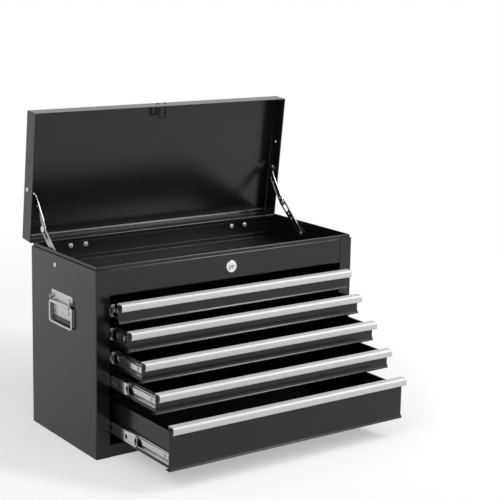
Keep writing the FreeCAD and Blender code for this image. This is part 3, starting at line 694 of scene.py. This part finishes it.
# Each hole: distance from the front end, height, length, width and corner radius
INNER_HOLES = ((8.0, 1.5, 3.0, 3.6, 0.0), (20.0, 1.0, 2.4, 8.6, 0.8), (112.0, 0.0, 12.0, 5.0, 2.4),
               (150.0, 0.0, 5.0, 5.0, 2.4), (205.0, 0.0, 9.0, 4.6, 2.2))
MIDDLE_HOLES = ((34.0, 0.0, 8.5, 9.5, 4.0), (47.0, 0.0, 6.0, 6.0, 2.9), (90.0, 0.0, 14.0, 5.0, 2.4),
                (150.0, 0.0, 6.0, 6.0, 2.9))
OUTER_HOLES = ((9.0, 0.0, 5.0, 5.0, 2.4), (60.0, 0.0, 10.0, 4.6, 2.2), (190.0, 0.0, 10.0, 4.6, 2.2))
# Where the cutters for each web's holes start and end
INNER_CUT, MIDDLE_CUT, OUTER_CUT, CAGE_CUT = (268, 272), (276.5, 280), (278, 281), (276, 278)
NOTCH_CUT = (276.8, 280)
PRESSED_TAB = [(270.2, -4.0), (271.6, -3.4), (271.6, 3.4), (270.2, 4.0)]
TAB_SPAN = (22.6, 26.4)    # the tab lies behind the inner member's first slot
NOTCH_RADIUS = 8.2         # concave front end of the middle member
NOTCH_CENTRE = -3.6
CAGE_SHEET = 0.35
CAGE_HALF = 10.35
CAGE_SPAN = (-2.0, 116.0)
CAGE_WINDOWS = [(7.0 + 24 * k, 0.0, 16.0, 12.0, 3.0) for k in range(5)]
BALLS = 18                 # in each of a slide's two rows
BALL_PITCH = 6.4
BALL_RADIUS = 0.84
BALL_PLANE = 274.3


def slide_section(web, tip, half, band, inset, track=None):
    """Outline of a channel, its lips towards the tip, with a ball track in each where one is given."""
    way = 1 if tip > web else -1
    if track:
        drop, level = track
        lip = [(tip, level - 0.5), (tip - way * 0.9, level + 0.45), (tip - way * 2.2, level + 0.95),
               (tip - way * 3.4, level + 0.35), (drop, half)]
    else:
        lip = [(tip, half - 0.25), (tip - way * 0.8, half)]
    upper = lip + [(web + way * 0.7, half), (web, half - 0.7), (web, band + 0.5), (web + way * inset, band)]
    path = upper + [(x, -z) for x, z in reversed(upper)]
    return sheet_outline(path, SLIDE_SHEET)


def hole_outline(y, z, length, height, corner):
    """A box, or a rounded slot where the corner has a radius."""
    a, b = length / 2 - corner, height / 2 - corner
    if corner:
        outline = []
        for cy, cz, start in ((a, b, 0), (-a, b, 90), (-a, -b, 180), (a, -b, 270)):
            outline += arc((cy, cz), corner, start, start + 90, 6)
    else:
        outline = [(a, b), (-a, b), (-a, -b), (a, -b)]
    return [(y + cy, z + cz) for cy, cz in outline]


def pierced(mesh, holes, cut, *more):
    """The mesh with its holes, and more shapes, cut through its web."""
    cutters = [prism_along_x(hole_outline(*hole), *cut) for hole in holes]
    return drilled(mesh, mesh_of([*more, *cutters]))


def slide_members():
    """Inner, middle and outer member of a slide, and the cage that holds its balls."""
    inner = mesh_of([prism_along_y(slide_section(*INNER_SECTION, BALL_TRACK), 0, SLIDE_LENGTH)])
    inner = pierced(inner, INNER_HOLES, INNER_CUT)
    inner = joined([inner, mesh_of([prism_along_y(PRESSED_TAB, *TAB_SPAN)])], "inner")

    notch = [(-1.0, 9.0)] + arc((NOTCH_CENTRE, 0), NOTCH_RADIUS, 62, -62, 14) + [(-1.0, -9.0)]
    middle = mesh_of([prism_along_y(slide_section(*MIDDLE_SECTION), 0, MIDDLE_LENGTH)])
    middle = pierced(middle, MIDDLE_HOLES, MIDDLE_CUT, prism_along_x(notch, *NOTCH_CUT))

    outer = mesh_of([prism_along_y(slide_section(*OUTER_SECTION), 0, SLIDE_LENGTH)])
    outer = pierced(outer, OUTER_HOLES, OUTER_CUT)

    path = [(272.9, CAGE_HALF), (276.7, CAGE_HALF), (276.95, 10.1)]
    path += [(x, -z) for x, z in reversed(path)]
    cage = mesh_of([prism_along_y(sheet_outline(path, CAGE_SHEET), *CAGE_SPAN)])
    return inner, middle, outer, pierced(cage, CAGE_WINDOWS, CAGE_CUT)


def add_slides():
    inner, middle, outer, cage = slide_members()
    for side, flip in (("left", True), ("right", False)):
        rails = [shifted(outer, (0, SLIDE_START, low + SLIDE_LEVEL), flip) for low in DRAWER_LOWS]
        fitted(f"{side}_slide_rails_rolled", joined(rails, "rails"), slide_zinc, "cabinet",
               [f"{side}_slide_rails"])
    for k, low, out, lag in zip(DRAWERS, DRAWER_LOWS, DRAWER_OUT, MIDDLE_LAG):
        level = low + SLIDE_LEVEL
        offset = (0, SLIDE_START - out, level)
        members = [shifted(inner, offset, flip) for flip in (False, True)]
        fitted(f"drawer_{k}_slides_rolled", joined(members, "members"), slide_zinc, f"drawer_{k}",
               [f"drawer_{k}_slide_members"])
        start = SLIDE_START + lag - out / 2
        offset = (0, start, level)
        members = [shifted(mesh, offset, flip) for mesh in (middle, cage) for flip in (False, True)]
        fitted(f"drawer_{k}_middles_rolled", joined(members, "members"), slide_zinc,
               f"drawer_{k}_middle", [f"drawer_{k}_middle_members"])
        places = [(x, start + 1.5, level + z)
                  for x in (-BALL_PLANE, BALL_PLANE) for z in (-CAGE_HALF, CAGE_HALF)]
        balls = ball_rows.grown(seeds(places), balls=BALLS, pitch=BALL_PITCH * MM,
                                ball_radius=BALL_RADIUS * MM, material=ball_steel)
        fitted(f"drawer_{k}_balls", balls, ball_steel, f"drawer_{k}_middle", smooth=60)


# Side handles
SIDE_X = 310.0             # outer face of the side panel
HANDLE_LEVEL = 280.0       # the bail's pivot line
BAIL_X = 314.5
BAIL_HALF = 45.4
BAIL_LOW = 238.0
BAIL_END = 24.0            # where the wire ends inside the barrel
BAIL_RADIUS = 2.2
BAIL_CORNER = 6.0
PLATE_SHEET = 1.5
BARREL_RADIUS = 3.28
BARREL_SHEET = 1.4
BARREL_HALF = 38.0
TAB_SHEET = 1.4            # stops folded out of the plate
TAB_REACH = 7.6
TAB_LEVELS = (285.4, 292.4)
TAB_STARTS = (-41.4, 40.0)
WRAP_LEVELS = (275.4, 277.9, 282.1, 284.6)          # the barrel's flat ends, below and above it
PLATE_BEVEL = 0.35
SCREW_PLACES = ((-35, 295.3), (35, 295.3), (-30, 267.3), (30, 267.3))


def add_bails():
    for side, sign in (("left", -1), ("right", 1)):
        path = bpy.data.curves.new("bail_path", "CURVE")
        path.dimensions = "3D"
        spline = path.splines.new("POLY")
        corners = [(-BAIL_END, HANDLE_LEVEL), (-BAIL_HALF, HANDLE_LEVEL), (-BAIL_HALF, BAIL_LOW),
                   (BAIL_HALF, BAIL_LOW), (BAIL_HALF, HANDLE_LEVEL), (BAIL_END, HANDLE_LEVEL)]
        spline.points.add(len(corners) - 1)
        for point, (y, z) in zip(spline.points, corners):
            point.co = (sign * BAIL_X * MM, y * MM, z * MM, 1)
        mesh = bent_wire.grown(path, wire_radius=BAIL_RADIUS * MM, corner_radius=BAIL_CORNER * MM,
                               corner_steps=7, material=handle_zinc)
        fitted(f"{side}_bail_wire", mesh, handle_zinc, f"{side}_bail",
               [f"{side}_bail"], smooth=40)


def add_handle_plates():
    low = [(35, 253), (35, 277.6), (-35, 277.6), (-35, 253)]
    high = [(35.4, 282.4), (35.4, 285.0), (43.5, 289.5)] + arc((39.5, 299.0), 4.0, 0, 90, 6)
    high += [(-y, z) for y, z in reversed(high)]
    middle = SIDE_X + PLATE_SHEET / 2
    ends = [(middle, level) for level in WRAP_LEVELS]
    wrap = ends[:2] + arc((BAIL_X, HANDLE_LEVEL), BARREL_RADIUS, -150, 150, 26) + ends[2:]
    tab = rectangle(SIDE_X, SIDE_X + TAB_REACH, *TAB_LEVELS)
    shapes = []
    for flip in (False, True):
        plates = [prism_along_x(outline, SIDE_X, SIDE_X + PLATE_SHEET) for outline in (low, high)]
        plates.append(prism_along_y(sheet_outline(wrap, BARREL_SHEET), -BARREL_HALF, BARREL_HALF))
        plates += [prism_along_y(tab, y, y + TAB_SHEET) for y in TAB_STARTS]
        shapes += [moved(shape, flip=flip) for shape in plates]
    fitted("handle_plates_rolled", rounded(mesh_of(shapes), PLATE_BEVEL), handle_zinc, "cabinet",
           ["handle_plates"])

    places = [(sign * (SIDE_X + PLATE_SHEET), y, z) for sign in (-1, 1) for y, z in SCREW_PLACES]
    ways = [(sign, 0, 0) for sign in (-1, 1) for _ in SCREW_PLACES]
    add_fasteners("handle_screw_heads", places, ways, "cabinet", dull_zinc,
                  HANDLE_SCREW, ["handle_screws"], cross=True)


# Lid and hinges; lid places are given with the lid shut
OPEN = math.radians(83.5)
HINGE = (139.0, 372.5)     # Y and Z of the pin line
HINGE_CENTRE = 203.0
BOLT_HALF = 17.5
BOLT_LEVEL = 363.0
NUT_Y = 132.4
RIVET_LEVEL = 384.0
RIVET_FACES = ((136.5, 1), (134.0, -1))             # Y of each face and the way its head points
CATCH_XS = (-9.0, 9.0)
CATCH_LEVEL = 399.5
CATCH_FACES = ((-135.0, -1), (-132.0, 1))
HINGE_STARTS = (-233.0, 173.0)
HINGE_LENGTH = 60.0
KNUCKLES = 5
KNUCKLE_RADIUS = 3.6
KNUCKLE_GAP = 0.3
LEAF_FACES = (135.0, 136.5)
LEAF_REACH = 18.5          # far edge from the pin line
LEAF_EDGE = math.sqrt(3.9 ** 2 - 2.5 ** 2)          # near edge, clear of the knuckles
LEAF_BEVEL = 0.2


def with_lid_open(y, z):
    """Where a point of the shut lid lies with the lid open."""
    a, b = y - HINGE[0], z - HINGE[1]
    return (HINGE[0] + a * math.cos(OPEN) + b * math.sin(OPEN),
            HINGE[1] - a * math.sin(OPEN) + b * math.cos(OPEN))


def lid_way(y):
    """A direction along Y of the shut lid, turned with it."""
    return (0, y * math.cos(OPEN), -y * math.sin(OPEN))


def add_lid_fasteners():
    bolt_xs = [side * HINGE_CENTRE + step for side in (-1, 1) for step in (-BOLT_HALF, BOLT_HALF)]
    add_fasteners("hinge_bolt_heads", [(x, LEAF_FACES[1], BOLT_LEVEL) for x in bolt_xs],
                  [(0, 1, 0)] * len(bolt_xs), "cabinet", dull_zinc,
                  HINGE_BOLT, ["hinge_bolts"])
    nuts = [moved(turned(rectangle(1.9, 5.2, -1.6, 1.6), 6), (x, NUT_Y, BOLT_LEVEL),
                  Matrix.Rotation(math.pi / 2, 3, "X")) for x in bolt_xs]
    fitted("hinge_nuts_bevelled", rounded(mesh_of(nuts), 0.6, 3), nut_zinc, "cabinet",
           ["hinge_nuts"])

    rivets = [(x, y, RIVET_LEVEL, way) for x in bolt_xs for y, way in RIVET_FACES]
    rivets += [(x, y, CATCH_LEVEL, way) for x in CATCH_XS for y, way in CATCH_FACES]
    add_fasteners("lid_rivet_heads", [(x, *with_lid_open(y, z)) for x, y, z, way in rivets],
                  [lid_way(way) for x, y, z, way in rivets], "lid", body_paint,
                  LID_RIVET, ["lid_rivets"])


def add_hinges():
    pitch = HINGE_LENGTH / KNUCKLES
    for body, own, way, node in (("cabinet", 0, -1, "body_hinge_leaves"),
                                 ("lid", 1, 1, "lid_hinge_leaves")):
        shapes, centres = [], []
        for start in HINGE_STARTS:
            low, high = sorted((HINGE[1] + way * LEAF_EDGE, HINGE[1] + way * LEAF_REACH))
            outlines = [rectangle(start, start + HINGE_LENGTH, low, high)]
            low, high = sorted((HINGE[1], HINGE[1] + way * (LEAF_EDGE + 1)))
            for k in range(own, KNUCKLES, 2):
                near = start + k * pitch + KNUCKLE_GAP / 2
                outlines.append(rectangle(near, near + pitch - KNUCKLE_GAP, low, high))
                centres.append((near + (pitch - KNUCKLE_GAP) / 2, *HINGE))
            shapes += [prism_along_y(outline, *LEAF_FACES) for outline in outlines]
        rolls = knuckles.grown(seeds(centres), knuckle_radius=KNUCKLE_RADIUS * MM,
                               knuckle_length=(pitch - KNUCKLE_GAP) * MM, material=body_paint)
        whole = rounded(joined([mesh_of(shapes), rolls], "hinge"), LEAF_BEVEL)
        if body == "lid":
            about = Matrix.Translation((0, HINGE[0] * MM, HINGE[1] * MM))
            whole.transform(about @ Matrix.Rotation(-OPEN, 4, "X") @ about.inverted())
        fitted(f"{body}_hinge_leaves_rolled", whole, body_paint, body, [node])


# Folding stays, drawn lying along Y from their own pivots
FOOT = (31.0, 353.0)
HEAD = with_lid_open(27.5, 396.0)
LOWER_REACH = 89.8
UPPER_REACH = math.dist(FOOT, HEAD) + 1.33 - LOWER_REACH
STAY_PLANE = 299.8         # inner face of the lower arm
LOWER_SHEET = 2.0
LOWER_HALF = 8.5
SLOT = (68.4, 89.9, 4.8)   # ends from the foot, and half width
LOWER_HOLES = ((0, 2.55), (57.0, 1.9), (44.0, 1.6)) # distance from the foot, and radius
UPPER_SHEET = 1.5
UPPER_HALF = 7.0
UPPER_WALL, UPPER_FLAT = 307.5, STAY_PLANE - 1.3    # the strap's two planes
JOGGLE = (8.0, 17.0)       # where it steps from one to the other
# X, distance from the head, and radius
UPPER_HOLES = ((UPPER_WALL, 0, 2.55), (UPPER_FLAT, UPPER_REACH - 12.0, 1.7), (UPPER_FLAT, 38.0, 1.7))
EDGE_START, EDGE_END = JOGGLE[1] + 5, UPPER_REACH - 14              # edges folded along the flat
EDGE_SHEET = 1.2
EDGE_DEPTH = (UPPER_FLAT - 1.8, UPPER_FLAT + 0.6)
STAY_BEVEL = 0.15
FOOT_FACES = ((299.7, -1), (301.9, 1), (310.0, 1))  # X of each head and the way it points
HEAD_FACES = ((306.4, -1), (310.0, 1))
KNEE_PIN = [(0, 296.3), (2.2, 296.35), (3.4, 296.8), (4.0, 297.5), (2.0, 297.5), (2.0, 302.0),
            (6.7, 302.0), (7.0, 302.2), (7.0, 302.7), (6.7, 302.9), (0, 302.9)]


def stay_angles():
    """Directions of the lower and the upper arm, each from its own pivot."""
    span = math.dist(FOOT, HEAD)
    line = math.atan2(HEAD[1] - FOOT[1], HEAD[0] - FOOT[0])
    inner = math.acos((LOWER_REACH ** 2 + span ** 2 - UPPER_REACH ** 2) / (2 * LOWER_REACH * span))
    low = line - inner
    knee = (FOOT[0] + LOWER_REACH * math.cos(low), FOOT[1] + LOWER_REACH * math.sin(low))
    return low, math.atan2(knee[1] - HEAD[1], knee[0] - HEAD[0])


def strap(x0, x1, start, end, half, steps=12):
    """Flat strap along Y with round ends about two centres."""
    outline = arc((end, 0), half, -90, 90, steps) + arc((start, 0), half, 90, 270, steps)
    return prism_along_x(outline, x0, x1)


def disc(x0, x1, y, radius, sides=20):
    return prism_along_x(arc((y, 0), radius, 0, 360 - 360 / sides, sides - 1), x0, x1)


def lower_arm():
    near, far = STAY_PLANE - 1, STAY_PLANE + 3
    cutters = [strap(near, far, *SLOT)] + [disc(near, far, y, radius) for y, radius in LOWER_HOLES]
    blank = strap(STAY_PLANE, STAY_PLANE + LOWER_SHEET, 0, SLOT[1], LOWER_HALF)
    return rounded(drilled(mesh_of([blank]), mesh_of(cutters)), STAY_BEVEL)


def upper_arm():
    path = [(UPPER_WALL, -UPPER_HALF - 0.2), (UPPER_WALL, JOGGLE[0]), (UPPER_FLAT, JOGGLE[1]),
            (UPPER_FLAT, UPPER_REACH + UPPER_HALF + 0.2)]
    blank = prism_along_z(sheet_outline(path, UPPER_SHEET), -UPPER_HALF, UPPER_HALF)
    outside = strap(UPPER_FLAT - 10, UPPER_WALL + 10, 0, UPPER_REACH, UPPER_HALF)
    upper = shaped(mesh_of([blank]), mesh_of([outside]), "INTERSECT")
    upper = drilled(upper, mesh_of([disc(x - 3, x + 3, y, radius) for x, y, radius in UPPER_HOLES]))
    edges = [rectangle(EDGE_START, EDGE_END, side * (UPPER_HALF - EDGE_SHEET), side * UPPER_HALF)
             for side in (-1, 1)]
    edges = mesh_of([prism_along_x(outline, *EDGE_DEPTH) for outline in edges])
    return rounded(joined([upper, edges], "upper"), STAY_BEVEL)


def add_stays():
    low_angle, high_angle = stay_angles()
    lower, upper = lower_arm(), upper_arm()
    for side, sign in (("left", -1), ("right", 1)):
        for name, mesh, pivot, angle in (("lower", lower, FOOT, low_angle),
                                         ("upper", upper, HEAD, high_angle)):
            place = Matrix.Translation((0, pivot[0] * MM, pivot[1] * MM))
            arm = mesh.copy()
            arm.transform(place @ Matrix.Rotation(angle, 4, "X"))
            fitted(f"{side}_{name}_arm_pressed", shifted(arm, (0, 0, 0), sign < 0), stay_zinc,
                   f"{side}_{name}_arm", [f"{side}_{name}_arm"])


def add_pivots():
    for name, faces, place, body, sizes, node in (
            ("stay_foot_rivets", FOOT_FACES, FOOT, "cabinet", FOOT_RIVET, "stay_lower_pivots"),
            ("stay_head_rivets", HEAD_FACES, HEAD, "lid", HEAD_RIVET, "stay_upper_pivots")):
        places = [(sign * x, *place) for sign in (-1, 1) for x, way in faces]
        ways = [(sign * way, 0, 0) for sign in (-1, 1) for x, way in faces]
        add_fasteners(name, places, ways, body, fastener_zinc, sizes, [node])
    for side, sign in (("left", -1), ("right", 1)):
        low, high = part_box(f"{side}_knee_pin")
        y, z = ((low[axis] + high[axis]) / 2 / MM for axis in (1, 2))
        shape = moved(turned(KNEE_PIN), turn=Matrix.Rotation(math.pi / 2, 3, "Y"))
        shape = moved(shape, (0, y, z), flip=sign < 0)
        fitted(f"{side}_knee_rivet", mesh_of([shape]), fastener_zinc, f"{side}_upper_arm",
               [f"{side}_knee_pin"])


# Lock, drawn about Z and then laid along Y
LOCK_LEVEL = 346.0
RING_FRONT = -135.8
PLUG_FRONT = -136.4
LOCK_NUT_Y = -127.5
CAM_SCREW_Y = -99.5
KEYWAY = [(-3.0, -0.8), (-0.8, -0.8), (-0.8, -1.4), (0.6, -1.4), (0.6, -0.8), (3.0, -0.8), (3.0, 0.8),
          (-3.0, 0.8)]


def add_lock():
    turn = Matrix.Rotation(-math.pi / 2, 3, "X")
    ring = ([(6.05, 34.3), (6.05, 1.2)] + arc((7.0, 1.2), 0.95, 180, 270, 5)
            + [(8.6, 0.25), (9.2, 0.75)] + arc((11.2, 1.3), 1.3, 270, 360, 6)
            + [(12.5, 1.8), (9.0, 1.8), (9.0, 34.3)])
    shape = moved(turned(ring, 64), (0, RING_FRONT, LOCK_LEVEL), turn)
    fitted("lock_ring", mesh_of([shape]), lock_chrome, "cabinet", ["lock_cylinder"])
    plug = [(0, 0.4), (2.6, 0.4), (3.0, 0.0)] + arc((5.2, 0.8), 0.8, 270, 360, 4) + [(6.0, 35.2), (0, 35.2)]
    shape = moved(turned(plug, 56), (0, PLUG_FRONT, LOCK_LEVEL), turn)
    keyway = prism_along_y([(x, LOCK_LEVEL + z) for x, z in KEYWAY], -140.0, -124.0)
    fitted("lock_plug", drilled(mesh_of([shape]), mesh_of([keyway])), core_steel, "lock",
           ["lock_core"])
    nut = moved(turned(rectangle(9.05, 13.0, -2.0, 2.0), 6), (0, LOCK_NUT_Y, LOCK_LEVEL), turn)
    fitted("lock_nut_bevelled", rounded(mesh_of([nut]), 0.5), dull_zinc, "cabinet",
           ["lock_nut"])
    add_fasteners("lock_cam_screw_head", [(0, CAM_SCREW_Y, LOCK_LEVEL)], [(0, 1, 0)], "lock", dull_zinc,
                  CAM_SCREW, ["lock_cam_screw"], cross=True)


# Sheet metal
def add_sheets():
    for node in ("left_side_panel", "right_side_panel", "top_rail", "base_pan"):
        dressed(node, "cabinet", body_paint)
    dressed("lid_shell", "lid", body_paint)
    for k in DRAWERS:
        dressed(f"drawer_{k}_tray", f"drawer_{k}", drawer_paint, 25)
        dressed(f"drawer_{k}_trim", f"drawer_{k}", trim_metal)


TILL_RIM = 304.0           # middle of the side wall's sheet
TILL_TOP, TILL_FLOOR = 378.5, 330.5
TILL_NEAR, TILL_FAR = -130.0, 132.2
TILL_SHEET = 1.0
HEM_RADIUS = 1.0
HEM_LOW = 373.2


def add_till():
    """Till with rolled hems along its rim."""
    side = ([(TILL_RIM, TILL_FLOOR), (TILL_RIM, TILL_TOP)]
            + arc((TILL_RIM + HEM_RADIUS, TILL_TOP), HEM_RADIUS, 180, 0, 8)[1:]
            + [(TILL_RIM + 2 * HEM_RADIUS, HEM_LOW)])
    across = [(-x, z) for x, z in reversed(side)] + side
    along = ([(TILL_NEAR - 2 * HEM_RADIUS, HEM_LOW)]
             + arc((TILL_NEAR - HEM_RADIUS, TILL_TOP - 0.05), HEM_RADIUS, 180, 0, 8)
             + [(TILL_NEAR, TILL_FLOOR - 0.06), (TILL_FAR, TILL_FLOOR - 0.06), (TILL_FAR, 341.0)])
    shapes = [prism_along_y(sheet_outline(across, TILL_SHEET), -132.5, 132.7),
              prism_along_x(sheet_outline(along, TILL_SHEET), -TILL_RIM, TILL_RIM)]
    fitted("till_tray_hemmed", mesh_of(shapes), body_paint, "cabinet", ["till_tray"],
           smooth=34)
    rear = ([(133.5, 368.5), (133.5, 371.0), (132.7, 374.0)]
            + arc((131.7, TILL_TOP), HEM_RADIUS, 0, 180, 8) + [(130.7, 372.0)])
    rim = prism_along_x(sheet_outline(rear, TILL_SHEET), -303.2, 303.2)
    fitted("rear_rim_hemmed", mesh_of([rim]), body_paint, "cabinet", ["rear_rim"],
           smooth=34)


add_sheets()
add_till()
add_slides()
add_bails()
add_handle_plates()
add_lid_fasteners()
add_hinges()
add_stays()
add_pivots()
add_lock()


# Studio
STAGE_WHITE = 0.93
STAGE_HALF = 30.0
STAGE_NEAR_GLOW = 0.4      # share of plain white in the floor round the chest; further out it is all
WORLD_LIGHT = 0.56


def background_seen(sketch):
    """1 where the background is looked at, straight or in metal and glass."""
    ray = sketch.tree.nodes.new("ShaderNodeLightPath")
    camera, glossy, through = (Field(sketch, ray.outputs[f"Is {kind} Ray"])
                               for kind in ("Camera", "Glossy", "Transmission"))
    return (camera + glossy + through).clamp()


def add_stage():
    mesh = bpy.data.meshes.new("floor")
    mesh.from_pydata([(x, y, 0) for x, y in rectangle(-STAGE_HALF, STAGE_HALF, -STAGE_HALF, STAGE_HALF)],
                     [], [(0, 1, 2, 3)])
    floor = placed("floor", mesh)
    s = Sketch("floor_white")
    far = s.add("ShaderNodeVectorMath", {"operation": "LENGTH"}, s.place(), out=1).step(0.9, 2.2)
    matt = s.add("ShaderNodeBsdfDiffuse", {}, grey(STAGE_WHITE), 1.0)
    white = s.add("ShaderNodeEmission", {}, grey(1.0), 1.0)
    glow = far * (1 - STAGE_NEAR_GLOW) + STAGE_NEAR_GLOW
    shader = s.add("ShaderNodeMixShader", {}, glow * background_seen(s), matt, white)
    mesh.materials.append(s.ends_with(shader))
    floor.location.z = cad_box[0][2] - 0.0002


def add_world():
    world = bpy.data.worlds.new("studio")
    bpy.context.scene.world = world
    s = Sketch("studio", world)
    lit = s.add("ShaderNodeBackground", {}, grey(1.0), WORLD_LIGHT)
    seen = s.add("ShaderNodeBackground", {}, grey(1.0), 1.0)
    s.ends_with(s.add("ShaderNodeMixShader", {}, background_seen(s), lit, seen))


def add_softbox(name, place, target, size, power):
    light = bpy.data.lights.new(name, "AREA")
    light.shape = "RECTANGLE"
    light.size, light.size_y = size
    light.energy = power
    lamp = placed(name, light)
    lamp.location = place
    way = Vector(target) - Vector(place)
    lamp.rotation_euler = way.to_track_quat("-Z", "Y").to_euler()


def add_lights():
    add_softbox("key", (-2.2, -1.2, 2.4), (0, 0, 0.25), (1.6, 1.6), 18)
    add_softbox("top", (1.58, -1.5, 2.15), (1.58, -0.22, 0.61), (0.62, 2.4), 58)
    add_softbox("right", (2.6, -1.6, 1.4), (0, 0, 0.3), (0.8, 1.6), 7)


add_camera()
add_stage()
add_world()
add_lights()
bpy.context.scene.view_settings.view_transform = "Standard"
